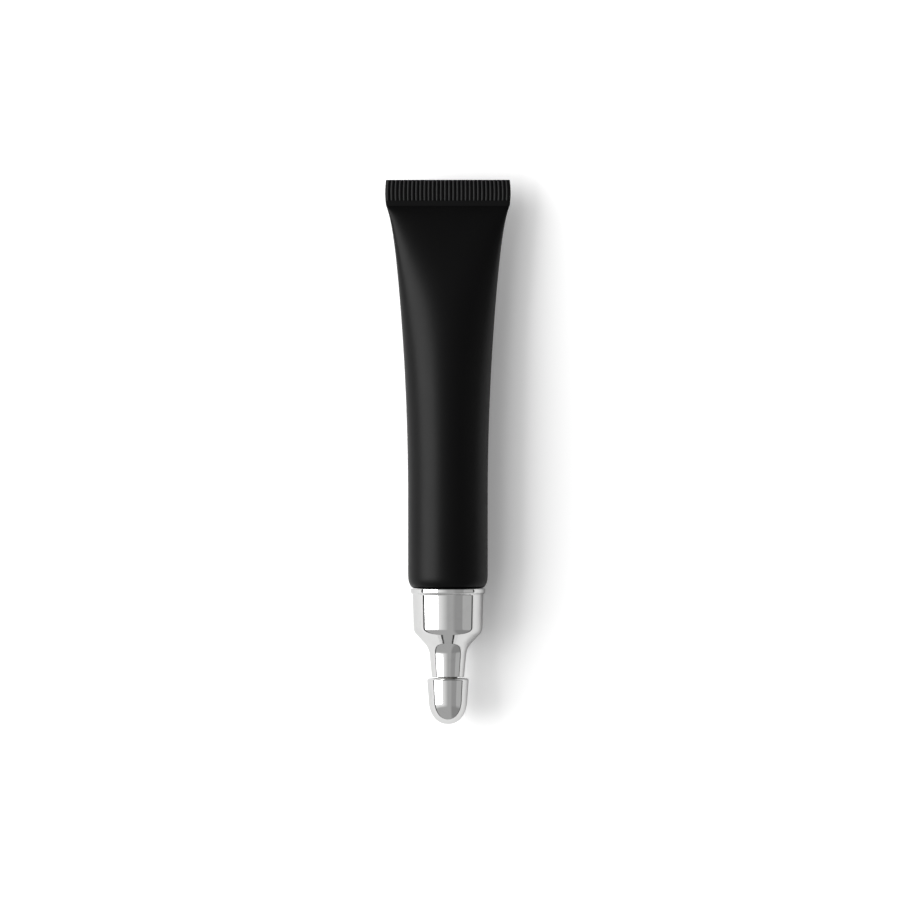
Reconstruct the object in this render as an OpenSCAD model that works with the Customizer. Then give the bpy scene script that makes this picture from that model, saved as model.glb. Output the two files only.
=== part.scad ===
// Slim squeeze tube with a chromed screw-on nozzle and a small screw cap, lying on its side.
// Every piece is drawn on the tube's own axis: +Z runs from the sealed end to the tip, and
// zero is the shoulder, where the sleeve ends. lay() puts it on its side, tip towards -Y.

/* [Sleeve] */
// Outer diameter of the sleeve where it is round
sleeve_d = 19; // [18:0.5:21]
// Length of the sleeve from the shoulder to the cut end
sleeve_l = 97.3; // [85:0.1:115]
// Wall of the sleeve
sleeve_wall = 0.5; // [0.4:0.05:0.6]
// Length next to the shoulder that stays round
round_l = 21; // [14:1:30]
// Width of the strip pressed flat along the underside, where the soft wall rests
rest_w = 4.4; // [4:0.1:4.6]

/* [End seal] */
// Length of the flat sealed end
seal_l = 6.2; // [5.5:0.1:8]
// Thickness of the two walls welded together
seal_t = 1.0; // [0.8:0.1:1.2]
// Number of ridges pressed across each face
ridge_count = 30; // [20:1:34]
// Length of each ridge
ridge_l = 4.9; // [3.5:0.1:5]

/* [Head] */
// Root diameter of the threaded neck
neck_d = 9.2; // [8.8:0.1:9.4]
// Height of the neck above the shoulder
neck_h = 8.4; // [8:0.1:8.6]
// Diameter of the hole in the end of the neck
outlet_d = 3; // [2:0.5:4]

/* [Nozzle] */
// Length from the shoulder to the end of the nozzle's metal shell
nozzle_l = 21.15; // [20.5:0.05:23]
// Diameter of the bead round the collar's rim
bead_d = 17.8; // [17.4:0.1:18]
// Diameter of the shell's free end
tip_d = 7.7; // [7.4:0.1:8]
// Wall of the metal shell
nozzle_wall = 0.8; // [0.7:0.05:0.9]

/* [Cap] */
// Largest diameter of the cap, at its rim
cap_d = 9.92; // [9.6:0.02:10.4]
// Length of the cap
cap_l = 10.95; // [10.5:0.05:12]

/* [Threads] */
// Travel along the axis for each turn of the nozzle or the cap
lead = 3; // [2.8:0.1:3.2]

/* [Contents] */
// Length of the tube that is filled, from the shoulder
fill_l = 70; // [40:1:80]

/* [Hidden] */
$fn = 96;

joint_gap = 0.02;    // air between pieces that are welded or pressed together
seat_gap = 0.1;      // air under the nozzle's rim when it is screwed home
cap_gap = 0.3;       // air between the nozzle's end and the cap's rim
thread_gap = 0.15;   // radial air between a male and a female thread
loft_sides = 48;     // sides of each ring of the lofted parts
overlap = 0.5;       // how far one solid runs into the next inside a piece
seam = 0.015;        // how far a lofted surface stays inside the turned one that it meets
edge = 0.4;          // chamfer on moulded edges
fine_edge = 0.3;     // chamfer on small moulded edges
washer_play = 0.2;   // radial air round the washer and the wad

// Sleeve
sleeve_r = sleeve_d / 2;
axis_h = sqrt(pow(sleeve_r, 2) - pow(rest_w / 2, 2));  // height of the tube's axis above the ground
corner_r = 1.5;      // how far the shoulder corner turns in
corner_h = 2.9;      // how far along the tube the corner starts
face_r = sleeve_r - corner_r;
seal_z = seal_l - sleeve_l;
seal_half_w = PI * sleeve_r / 2;
spread = seal_half_w - sleeve_r;
flare = 0.78 * spread;
lip = 0.18 * spread;
lip_l = 4;
lip_t = 0.8;         // how much the walls part in the first few millimetres below the seal
lip_rise = 1.5;      // length over which they do that
square_l = 14;       // how far the boxy section reaches from the seal
square_gain = 2.1;   // how boxy it gets
web_l = 0.8;         // how far the weld fills the corner between the walls
taper_l = -round_l - seal_z;
taper_steps = 15;
rest_bar_w = 3.4;    // width of the bar that keeps the wall's thickness over the flat underside
rest_bar_end = -36;  // where that bar ends towards the seal

// Seal
ridge_in = 0.12;     // depth of the valleys between ridges
ridge_out = 0.07;    // height of the ridges above the plain band
ridge_foot = 0.32;   // half the width of a ridge at its foot, as a share of the pitch
ridge_top = 0.14;    // and at its top
seal_bow = 0.22;     // how much the seal's side edges draw in at its ends
seal_spread = 0.04;  // how much the press widens it

// Head
neck_r = neck_d / 2;
neck_thread_r = neck_r + 0.6;
head_skirt = 4.2;    // depth of the ring welded inside the sleeve
head_plate = 1.6;
neck_bore_r = 3.2;
neck_end = 1.1;
head_ring = 0.8;     // wall of the ring welded inside the sleeve
head_step = 0.5;     // chamfer from that ring to the plate
neck_thread_z = 1.9;
neck_turns = 1.5;
neck_ridge = [1.1, 0.5];     // width of the coarse ridge at its foot and its crest

// Nozzle shell: a drafted collar, a rounded shoulder, and a tapered neck
bead_r = bead_d / 2;
bead_edge = 0.14;    // rounding of the rim itself
bead_z = 0.75;       // height above the rim up to which the bead is plain
bead_round = 0.5;
bead_sweep = 62;     // angle at which the bead's round meets the collar
bead_out = 0.48;     // how far the bead stands out from the collar
collar_z = 1.5;      // height above the rim where the bead has run out
collar_r = bead_r - bead_out;
draft = 1.3;
shoulder_z = 9.4;
shoulder_r = collar_r - 0.18;
shoulder_round = 2.4;
cone_angle = 43;
hollow_round = 4.6;
tip_r = tip_d / 2;
tip_draft = 5.46;
shoulder_c = [shoulder_r - shoulder_round * cos(draft), shoulder_z - shoulder_round * sin(draft)];
cone_start = shoulder_c + shoulder_round * [cos(cone_angle), sin(cone_angle)];
cone_side = hollow_round + cone_start * [cos(cone_angle), sin(cone_angle)];
neck_side = hollow_round + [tip_r, nozzle_l] * [cos(tip_draft), sin(tip_draft)];
hollow_c = [
    neck_side * sin(cone_angle) - cone_side * sin(tip_draft),
    cone_side * cos(tip_draft) - neck_side * cos(cone_angle)
] / sin(cone_angle - tip_draft);
collar_bore_r = shoulder_c[0] + shoulder_round - nozzle_wall;

// Nozzle insert
skirt_r = neck_thread_r + thread_gap;
skirt_wall = 0.95;
skirt_z = 0.5;
shell_gap = 0.05;    // air between the insert and the shell's tapered side
insert_from = 25;    // angle on the shell's shoulder where the insert starts to follow it
washer_t = 0.8;
washer_hole_r = 1.9;
deck_z = neck_h + washer_t;
rib_count = 8;
rib_w = 0.8;
rib_relief = 0.12;   // how far the plain wall stays inside the ribs' edges
channel_r = [1, 1.4, 2];     // radius of the channel at its narrow end, its middle and its mouth
channel_mid = 3.3;
orifice_l = 3;
spigot_r = 2.3;
spigot_thread_r = spigot_r + 0.45;
spigot_l = 5.25;
spigot_z = nozzle_l + spigot_l;
spigot_thread_z = nozzle_l + 0.75;
spigot_turns = 0.9;
spigot_ridge = [0.6, 0.3];   // width of the fine ridge at its foot and its crest
orifice_r = 0.8;

// Cap
cap_z = nozzle_l + cap_gap;
cap_end = cap_z + cap_l;
cap_r = cap_d / 2;
cap_round = 0.58;
nose_z = cap_z + 4.55;
nose_r = cap_r - 0.31;
nose_power = 2.2;
cap_bore_r = 3.9;
cap_bore_top = cap_end - 1.5;
core_recess = 0.15;  // how far the core stays inside the cap's rim
core_bore_r = spigot_thread_r + thread_gap;
wad_t = 0.55;
ceiling_z = spigot_z + wad_t;
core_top = ceiling_z + 1.05;
core_shoulder = 0.56;
pin_r = 0.7;
pin_l = 2.4;

mid_z = (cap_end - sleeve_l) / 2;

// Places children, drawn on the tube's axis, on the ground with the tip towards -Y.
module lay() {
    translate([0, mid_z, axis_h]) rotate([90, 0, 0]) children();
}

// Points [radius, z] on an arc round centre c, from one angle to another.
function arc(c, r, from, to, steps) =
    [for (i = [0:steps]) c + r * [cos(from + (to - from) * i / steps), sin(from + (to - from) * i / steps)]];

function reversed(list) = [for (i = [len(list) - 1:-1:0]) list[i]];

// Half of the sleeve's width at z: it spreads from the round end towards the seal.
function half_width(z) =
    let (u = z - seal_z, t = max(0, 1 - u / taper_l))
    sleeve_r + flare * t * t + lip * exp(-u / lip_l);

// Half of the sleeve's depth at z: it grows from the welded thickness to the full radius.
function half_depth(z) =
    let (u = z - seal_z, t = max(0, 1 - u / taper_l))
    seal_t / 2 + lip_t * (1 - exp(-u / lip_rise)) + (sleeve_r - seal_t / 2 - lip_t) * (1 - pow(t, 3));

// 2 gives an ellipse, and more gives a boxier section. Both keep the girth close to the round end's.
function squareness(z) = 2 + square_gain * exp(-pow((z - seal_z) / square_l, 2));

// A closed ring of points round the axis, as a superellipse.
function ring(a, b, z, power = 2) = [
    for (i = [0:loft_sides - 1])
    let (c = cos(360 * i / loft_sides), s = sin(360 * i / loft_sides))
    [a * sign(c) * pow(abs(c), 2 / power), b * sign(s) * pow(abs(s), 2 / power), z]
];

// The sleeve's section at z, drawn in by an inset.
function section(z, inset) = ring(half_width(z) - inset, half_depth(z) - inset, z, squareness(z));

// Sections from one height to another, closer together near the seal.
function sections(from, to, inset, steps) =
    [for (i = [0:steps]) let (s = i / steps) section(from + (to - from) * s * (0.4 + 0.6 * s), inset)];

// A closed solid through rings that each have the same number of points.
module skin(rings) {
    n = len(rings[0]);
    points = [for (r = rings) for (p = r) p];
    sides = [
        for (j = [0:len(rings) - 2]) for (i = [0:n - 1])
        let (a = j * n + i, b = j * n + (i + 1) % n)
        each [[a + n, b + n, b], [a + n, b, a]]
    ];
    first = [for (i = [0:n - 1]) i];
    last = [for (i = [n - 1:-1:0]) (len(rings) - 1) * n + i];
    polyhedron(points, concat([first], sides, [last]));
}

// One helical ridge. It stands out from root_r where crest_r is larger, and in where it is smaller.
module thread_ridge(root_r, crest_r, z, turns, ridge) {
    side = crest_r > root_r ? 1 : -1;
    steps = ceil(turns * 24);
    fade = 3;
    sunk = 0.2;
    low = 0.05;
    profiles = [
        for (i = [0:steps])
        let (
            share = min(1, i / fade, (steps - i) / fade),
            top = root_r + side * low + (crest_r - root_r - side * low) * share,
            angle = 360 * turns * i / steps,
            rise = z + lead * angle / 360
        )
        [
            for (p = [
                [root_r - side * sunk, -ridge[0] / 2], [top, -ridge[1] / 2],
                [top, ridge[1] / 2], [root_r - side * sunk, ridge[0] / 2]
            ])
            [p[0] * cos(angle), p[0] * sin(angle), rise + p[1]]
        ]
    ];
    points = [for (p = profiles) for (q = p) q];
    sides = [
        for (i = [0:steps - 1]) for (k = [0:3])
        let (a = 4 * i + k, b = 4 * i + (k + 1) % 4)
        each [[a, b, b + 4], [a, b + 4, a + 4]]
    ];
    last = 4 * steps;
    ends = [[3, 2, 1], [3, 1, 0], [last, last + 1, last + 2], [last, last + 2, last + 3]];
    faces = concat(sides, ends);
    polyhedron(points, side > 0 ? faces : [for (f = faces) reversed(f)]);
}

// Evenly spaced starts of the same ridge.
module thread(root_r, crest_r, z, turns, starts, ridge) {
    for (i = [0:starts - 1]) rotate(360 * i / starts) thread_ridge(root_r, crest_r, z, turns, ridge);
}

// The shell's side from the shoulder to the free end, drawn in by an inset.
function nozzle_side(inset, from_angle = draft) = concat(
    arc(shoulder_c, shoulder_round - inset, from_angle, cone_angle, 8),
    arc(hollow_c, hollow_round + inset, 180 + cone_angle, 180 + tip_draft, 8),
    [[tip_r - inset / cos(tip_draft), nozzle_l]]
);

// A blunt nose from [r, z] to the axis.
function nose(r, z, l, steps) =
    [for (i = [0:steps]) let (a = 90 * i / steps)
        [r * pow(max(0, cos(a)), 2 / nose_power), z + l * pow(max(0, sin(a)), 2 / nose_power)]];

// The round end: a true cylinder whose corner turns in to the shoulder.
module sleeve_round() {
    outside = [for (a = [0:15:90]) [sleeve_r - corner_r * (1 - cos(a)), corner_h * (sin(a) - 1)]];
    inside = [
        for (a = [90:-15:0])
        [face_r + (corner_r - sleeve_wall) * cos(a), (corner_h - sleeve_wall) * sin(a) - corner_h]
    ];
    rotate_extrude() polygon(concat(
        [[sleeve_r, -round_l]], outside, inside, [[sleeve_r - sleeve_wall, -round_l]]
    ));
}

// The part that spreads and flattens towards the seal, closed where the walls meet.
module sleeve_flare() {
    outer_r = sleeve_r - seam;
    inner_r = sleeve_r - sleeve_wall + 2 * seam;
    start = -round_l + overlap;
    skin(concat(
        [ring(seal_half_w - fine_edge, seal_t / 2 - 3 * seam, seal_z - overlap)],
        sections(seal_z, -round_l, seam, taper_steps),
        [ring(outer_r, outer_r, start), ring(inner_r, inner_r, start)],
        reversed(sections(seal_z + web_l, -round_l, sleeve_wall - 2 * seam, taper_steps))
    ));
}

// The welded end, ridged across both faces and cut square, with slightly bowed edges.
module end_seal() {
    valley = seal_t / 2 - ridge_in;
    crest = seal_t / 2 + ridge_out;
    pitch = 2 * seal_half_w / (ridge_count + 0.5);
    one_face = [
        for (i = [0:ridge_count - 1])
        let (x = (i - (ridge_count - 1) / 2) * pitch)
        each [
            [x - ridge_foot * pitch, valley], [x - ridge_top * pitch, crest],
            [x + ridge_top * pitch, crest], [x + ridge_foot * pitch, valley]
        ]
    ];
    face = concat([[-seal_half_w - 1, valley]], one_face, [[seal_half_w + 1, valley]]);
    side = [
        for (i = [0:6])
        let (s = i / 3 - 1)
        [seal_half_w + seal_spread - seal_bow * s * s, seal_z - seal_l / 2 * (1 + s)]
    ];
    intersection() {
        union() {
            translate([0, 0, -sleeve_l]) linear_extrude(ridge_l + seam)
                polygon(concat(face, [for (p = reversed(face)) [p[0], -p[1]]]));
            translate([-seal_half_w - 1, -seal_t / 2, -sleeve_l + ridge_l])
                cube([2 * seal_half_w + 2, seal_t, seal_l - ridge_l]);
        }
        rotate([90, 0, 0]) translate([0, 0, -seal_t])
            linear_extrude(2 * seal_t) polygon(concat(side, [for (p = reversed(side)) [-p[0], p[1]]]));
    }
}

// Everything up to a height, between the shoulder and the flare.
module underside(height) {
    translate([-sleeve_r, mid_z - sleeve_r, -sleeve_r]) cube([sleeve_d, sleeve_l, sleeve_r + height]);
}

// The underside is pressed flat where it meets the ground, and keeps its thickness there.
module tube_sleeve() {
    bar_start = -head_skirt - fine_edge;
    color("#141416") difference() {
        union() {
            lay() {
                sleeve_round();
                sleeve_flare();
                end_seal();
            }
            translate([-rest_bar_w / 2, mid_z - bar_start, -overlap])
                cube([rest_bar_w, bar_start - rest_bar_end, overlap + sleeve_wall]);
        }
        underside(0);
    }
}

// Shoulder plate, the ring welded inside the sleeve, and the threaded neck.
module tube_head() {
    r = sleeve_r - sleeve_wall - joint_gap;
    corner = [
        for (a = [0:15:90])
        [face_r - joint_gap + (r - face_r + joint_gap) * cos(a),
         (corner_h - sleeve_wall - joint_gap) * sin(a) - corner_h]
    ];
    color("#18181a") lay() {
        rotate_extrude() polygon(concat(
            [[r - head_ring, -head_skirt], [r, -head_skirt]], corner,
            [
                [face_r - joint_gap, 0], [neck_r, 0], [neck_r, neck_h - edge],
                [neck_r - edge, neck_h], [outlet_d / 2, neck_h], [outlet_d / 2, neck_h - neck_end],
                [neck_bore_r, neck_h - neck_end], [neck_bore_r, edge - head_plate],
                [neck_bore_r + edge, -head_plate], [r - head_ring - head_step, -head_plate],
                [r - head_ring, -head_plate - head_step]
            ]
        ));
        thread(neck_r, neck_thread_r, neck_thread_z, neck_turns, 1, neck_ridge);
    }
}

// The product, from the neck to the air space below the seal.
module cream_fill() {
    gap = 0.08;
    r = sleeve_r - sleeve_wall - gap;
    ring_r = r - head_ring;
    color("#f4f2ec") difference() {
        lay() {
            rotate_extrude() polygon([
                [0, -round_l], [r, -round_l], [r, -head_skirt - gap], [ring_r, -head_skirt - gap],
                [ring_r, -head_plate - head_step - gap], [ring_r - head_step, -head_plate - gap],
                [neck_bore_r + edge, -head_plate - gap], [neck_bore_r - gap, edge - head_plate],
                [neck_bore_r - gap, neck_h - neck_end - gap], [0, neck_h - neck_end - gap]
            ]);
            skin(concat(
                sections(-fill_l, -round_l, sleeve_wall + gap + seam, 8),
                [ring(r - seam, r - seam, -round_l + overlap)]
            ));
        }
        underside(sleeve_wall + gap);
    }
}

// The washer that seals the nozzle on the end of the neck.
module neck_washer() {
    color("#dcdcd8") lay() translate([0, 0, neck_h + joint_gap]) difference() {
        cylinder(r = skirt_r - washer_play, h = washer_t - 2 * joint_gap);
        translate([0, 0, -1]) cylinder(r = washer_hole_r, h = washer_t + 2);
    }
}

// The plastic core of the nozzle: a threaded and ribbed skirt, a tapered channel, and a threaded spigot.
module nozzle_insert() {
    inset = nozzle_wall + shell_gap;
    outer_r = skirt_r + skirt_wall;
    rib_r = collar_bore_r - joint_gap;
    color("#c4c2bd") lay() {
        rotate_extrude() polygon(concat(
            [
                [skirt_r, skirt_z], [outer_r, skirt_z], [outer_r, deck_z - edge],
                [rib_r - rib_relief, deck_z - edge], [rib_r - rib_relief, deck_z + edge]
            ],
            nozzle_side(inset, insert_from),
            [
                [spigot_r, nozzle_l], [spigot_r, spigot_z - fine_edge], [spigot_r - fine_edge, spigot_z],
                [orifice_r, spigot_z], [orifice_r, spigot_z - orifice_l],
                [channel_r[0], spigot_z - orifice_l - edge], [channel_r[1], deck_z + channel_mid],
                [channel_r[2], deck_z], [skirt_r, deck_z]
            ]
        ));
        for (i = [0:rib_count - 1]) rotate(360 * (i + 0.5) / rib_count)
            translate([outer_r - overlap, -rib_w / 2, skirt_z + edge])
                cube([rib_r - joint_gap - outer_r + overlap, rib_w, deck_z - skirt_z - edge]);
        thread(skirt_r, neck_r + thread_gap, neck_thread_z + lead / 2, neck_turns, 1, neck_ridge);
        thread(spigot_r, spigot_thread_r, spigot_thread_z, spigot_turns, 2, spigot_ridge);
    }
}

// The chromed metal shell over the insert, with a bead round its rim.
module nozzle_shell() {
    color("#c9cccb") lay() rotate_extrude() polygon(concat(
        [[collar_bore_r, seat_gap]],
        arc([bead_r - bead_edge, seat_gap + bead_edge], bead_edge, -90, 0, 4),
        arc([bead_r - bead_round, seat_gap + bead_z], bead_round, 0, bead_sweep, 8),
        [[collar_r, seat_gap + collar_z]],
        nozzle_side(0),
        reversed(nozzle_side(nozzle_wall, 0))
    ));
}

// The disc in the cap that closes the end of the spigot.
module cap_wad() {
    color("#e6e6e2") lay() translate([0, 0, spigot_z + joint_gap]) difference() {
        cylinder(r = core_bore_r - washer_play, h = wad_t - 2 * joint_gap);
        translate([0, 0, -1]) cylinder(r = pin_r + washer_play, h = wad_t + 2);
    }
}

// The threaded plastic core of the cap, with the pin that plugs the orifice.
module cap_core() {
    mouth = cap_z + core_recess;
    outer_r = cap_bore_r - 2 * joint_gap;
    color("#c4c2bd") lay() {
        rotate_extrude() polygon([
            [core_bore_r + fine_edge, mouth], [outer_r, mouth], [outer_r, ceiling_z - edge],
            [outer_r - core_shoulder, core_top], [0, core_top], [0, spigot_z - pin_l],
            [pin_r - fine_edge, spigot_z - pin_l], [pin_r, spigot_z - pin_l + edge], [pin_r, ceiling_z],
            [core_bore_r, ceiling_z], [core_bore_r, mouth + fine_edge]
        ]);
        thread(core_bore_r, spigot_r + thread_gap, spigot_thread_z + lead / 4, spigot_turns, 2, spigot_ridge);
    }
}

// The chromed bullet over the core.
module cap_shell() {
    color("#c9cccb") lay() rotate_extrude() polygon(concat(
        [[cap_bore_r, cap_z]],
        arc([cap_r - cap_round, cap_z + cap_round], cap_round, -90, 0, 5),
        nose(nose_r, nose_z, cap_end - nose_z, 14),
        reversed(nose(cap_bore_r, nose_z + edge, cap_bore_top - nose_z - edge, 10))
    ));
}

tube_sleeve();
tube_head();
cream_fill();
neck_washer();
nozzle_insert();
nozzle_shell();
cap_wad();
cap_core();
cap_shell();
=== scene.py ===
"""A slim black squeeze tube with a chromed screw-on nozzle and cap, on a pale stage.

Sizes are in metres and the tube lies along Y, with its sealed end at +Y. Outlines and rings
are written as the distance from the tube's own axis and the distance past the shoulder,
which is where the sleeve ends and the nozzle begins.
"""

import math

import bpy
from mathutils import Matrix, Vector


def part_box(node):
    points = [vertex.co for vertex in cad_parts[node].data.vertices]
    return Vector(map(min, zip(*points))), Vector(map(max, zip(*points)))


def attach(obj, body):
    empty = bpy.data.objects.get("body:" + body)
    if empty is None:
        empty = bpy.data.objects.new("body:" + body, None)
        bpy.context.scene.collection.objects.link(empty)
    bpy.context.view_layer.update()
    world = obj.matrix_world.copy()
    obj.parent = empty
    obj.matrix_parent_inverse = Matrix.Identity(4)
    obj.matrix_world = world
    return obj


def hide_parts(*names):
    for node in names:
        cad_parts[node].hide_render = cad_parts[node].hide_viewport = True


bl_info = {
    "name": "Squeeze Tube",
    "version": (1, 0, 0),
    "blender": (4, 5, 0),
    "location": "3D View > Sidebar > Tube",
    "description": "Models a squeeze tube with a chromed nozzle and cap, and a stage for it",
    "category": "Add Mesh",
}

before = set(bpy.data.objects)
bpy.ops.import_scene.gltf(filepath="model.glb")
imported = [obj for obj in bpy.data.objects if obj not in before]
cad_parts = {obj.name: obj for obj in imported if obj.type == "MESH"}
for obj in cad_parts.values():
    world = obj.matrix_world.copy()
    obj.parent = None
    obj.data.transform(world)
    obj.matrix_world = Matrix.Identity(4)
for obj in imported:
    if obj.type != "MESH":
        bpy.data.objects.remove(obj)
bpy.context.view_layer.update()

MM = 0.001
SHELL_LOW, SHELL_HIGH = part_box("nozzle_shell")
SLEEVE_LOW, SLEEVE_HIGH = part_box("tube_sleeve")
CAP_LOW, CAP_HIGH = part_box("cap_shell")
AXIS_Z = (SHELL_LOW.z + SHELL_HIGH.z) / 2
SHOULDER_Y = SLEEVE_LOW.y
FULL_TURN = 2 * math.pi
QUARTER_TURN = math.pi / 2
WHITE = (1.0, 1.0, 1.0)
MERGE = 0.001 * MM         # points nearer than this are one point
WELD_GAP = 0.02            # air between pieces that are welded together, in millimetres


# ---------------------------------------------------------------- sizes a user would change

def length(name, description, millimetres):
    return bpy.props.FloatProperty(
        name=name, description=description, default=millimetres * MM, unit="LENGTH", precision=5
    )


def colour(name, description, red, green, blue):
    return bpy.props.FloatVectorProperty(
        name=name, description=description, default=(red, green, blue), subtype="COLOR", size=3,
        min=0, max=1,
    )


def share(name, description, value):
    return bpy.props.FloatProperty(
        name=name, description=description, default=value, min=0, max=1, subtype="FACTOR"
    )


def level(name, description, value):
    return bpy.props.FloatProperty(name=name, description=description, default=value, min=0)


class SleeveSizes(bpy.types.PropertyGroup):
    diameter: length("Diameter", "Outer diameter where the sleeve is round", 19)
    wall: length("Wall", "Wall of the sleeve", 0.5)
    round_length: length("Round length", "Length next to the shoulder that stays round", 21)
    corner_turn: length("Corner turn", "How far the shoulder corner turns in", 1.5)
    corner_length: length("Corner length", "How far along the tube the corner starts", 2.9)
    seal_length: length("Seal length", "Length of the flat sealed end", 6.2)
    seal_thickness: length("Seal thickness", "Thickness of the two walls welded together", 1)
    ridge_length: length("Ridge length", "Length of the ridges pressed into the seal", 4.9)
    ridge_count: bpy.props.IntProperty(
        name="Ridges", description="Number of ridges across each face of the seal", default=30, min=2
    )


class NozzleSizes(bpy.types.PropertyGroup):
    bead: length("Bead diameter", "Diameter of the bead round the collar's rim", 17.8)
    tip: length("Tip diameter", "Diameter of the shell's free end", 7.7)
    wall: length("Wall", "Wall of the metal shell", 0.8)
    neck: length("Neck diameter", "Root diameter of the tube's threaded neck", 9.2)
    neck_height: length("Neck height", "Height of the tube's neck above the shoulder", 8.4)
    lead: length("Thread lead", "Travel along the axis for each turn", 3)


class CapSizes(bpy.types.PropertyGroup):
    diameter: length("Diameter", "Largest diameter of the cap, at its rim", 9.92)
    bore: length("Bore", "Diameter of the bore that the plastic core fills", 7.8)


class FinishSettings(bpy.types.PropertyGroup):
    sleeve: colour("Sleeve", "Soft black of the sleeve", 0.0007, 0.0007, 0.0008)
    sleeve_roughness: share("Sleeve roughness", "How matte the sleeve is", 0.4)
    head: colour("Head", "Moulded black of the head", 0.012, 0.012, 0.0125)
    chrome: colour("Chrome", "Colour of the plated metal", 0.75, 0.75, 0.745)
    chrome_edge: share("Chrome edge", "How much the plated metal reflects at a glancing angle", 0.82)
    chrome_roughness: share("Chrome roughness", "How blurred the plating's reflections are", 0.03)
    insert: colour("Inner plastic", "Milky plastic of the moulded core parts", 0.44, 0.43, 0.405)
    foam: colour("Washer foam", "Colour of the washer and the cap's disc", 0.8, 0.8, 0.77)
    cream: colour("Cream", "Colour of the product", 0.93, 0.92, 0.88)


class StageSettings(bpy.types.PropertyGroup):
    room: level("Room", "Brightness of the room on the side away from the softbox", 0.3)
    room_gain: level("Room gain", "How much brighter the room gets towards the softbox", 0.9)
    room_top: level("Room top", "Brightness that the room gains just above the softbox", 1.4)
    softbox: level("Softbox", "Brightness of the softbox's face", 4.0)
    floor: share("Floor", "How much light the floor returns", 0.98)
    floor_glow: level("Floor glow", "Brightness added to the floor where it is seen", 0.13)
    floor_mirrored: share("Mirrored floor", "How bright the floor is in the plated metal", 0.82)
    camera_distance: length("Camera distance", "From the camera to the tube's axis", 2145)
    lens: bpy.props.FloatProperty(
        name="Lens", description="Focal length of the camera, in millimetres", default=360, min=10
    )


# ---------------------------------------------------------------- modelling helpers

def begin():
    """Leaves edit mode and selects nothing."""
    if bpy.context.object and bpy.context.object.mode != "OBJECT":
        bpy.ops.object.mode_set(mode="OBJECT")
    bpy.ops.object.select_all(action="DESELECT")


def pick(obj):
    """Selects one object and makes it active."""
    begin()
    obj.select_set(True)
    bpy.context.view_layer.objects.active = obj


def edit():
    """Enters edit mode with everything selected."""
    bpy.ops.object.mode_set(mode="EDIT")
    bpy.ops.mesh.select_all(action="SELECT")


def place(across, up, past):
    """A point that far across and up from the tube's axis, and that far past the shoulder."""
    return (across, SHOULDER_Y - past, AXIS_Z + up)


def round_the_axis(radius, angle, past):
    return place(radius * math.cos(angle), radius * math.sin(angle), past)


def close_up(obj, name, crease=30):
    """Merges seams, points the faces outwards, and shades smooth up to that many degrees."""
    obj.name = name
    obj.data.name = name
    edit()
    bpy.ops.mesh.remove_doubles(threshold=MERGE)
    bpy.ops.mesh.delete_loose(use_verts=True, use_edges=True, use_faces=False)
    bpy.ops.mesh.select_all(action="SELECT")
    bpy.ops.mesh.normals_make_consistent(inside=False)
    bpy.ops.object.mode_set(mode="OBJECT")
    bpy.ops.object.shade_smooth_by_angle(angle=math.radians(crease))
    return obj


def held(outline, long=0.5 * MM, hold=0.04 * MM):
    """The same closed outline, with a point near each end of its long sides to keep them straight."""
    points = []
    for first, second in zip(outline, outline[1:] + outline[:1]):
        points.append(first)
        run = math.dist(first, second)
        if run > long:
            for share_along in (hold / run, 1 - hold / run):
                points.append(tuple(a + (b - a) * share_along for a, b in zip(first, second)))
    return points


def turned(name, outline, steps=224):
    """A closed outline of (radius, past) points, spun all the way round the tube's axis."""
    outline = held(outline)
    begin()
    bpy.ops.mesh.primitive_circle_add(vertices=len(outline), radius=1, fill_type="NOTHING")
    obj = bpy.context.object
    for vertex, (radius, past) in zip(obj.data.vertices, outline):
        vertex.co = place(radius, 0, past)
    edit()
    bpy.ops.mesh.spin(
        steps=steps, angle=FULL_TURN, use_auto_merge=True, center=(0, 0, AXIS_Z), axis=(0, 1, 0)
    )
    return close_up(obj, name)


def rolled(name, rings, fill_ends=False):
    """A skin through closed rings, which all have the same number of points."""
    begin()
    around = len(rings[0])
    bpy.ops.mesh.primitive_grid_add(x_subdivisions=around, y_subdivisions=len(rings) - 1, size=1)
    obj = bpy.context.object
    points = [value for ring in rings for point in ring + ring[:1] for value in point]
    obj.data.vertices.foreach_set("co", points)
    if fill_ends:
        edit()
        bpy.ops.mesh.remove_doubles(threshold=MERGE)
        bpy.ops.mesh.fill_holes(sides=0)
        bpy.ops.object.mode_set(mode="OBJECT")
    return close_up(obj, name)


def joined(name, parts):
    """One object made of several."""
    begin()
    for part in parts:
        part.select_set(True)
    bpy.context.view_layer.objects.active = parts[0]
    bpy.ops.object.join()
    parts[0].name = name
    parts[0].data.name = name
    return parts[0]


def finish_piece(obj, body, node, material):
    """Gives a piece its material, and says what it rides on and which node it replaces."""
    obj.data.materials.clear()
    obj.data.materials.append(material)
    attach(obj, body)
    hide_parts(node)


def blend(low, high, value):
    """0 below low, 1 above high, and a smooth rise between."""
    t = min(1, max(0, (value - low) / (high - low)))
    return t * t * (3 - 2 * t)


def arc(centre, radius, start, end, steps):
    """Points on an arc, between two angles in degrees."""
    angles = [math.radians(start + (end - start) * i / steps) for i in range(steps + 1)]
    return [(centre[0] + radius * math.cos(a), centre[1] + radius * math.sin(a)) for a in angles]


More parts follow.
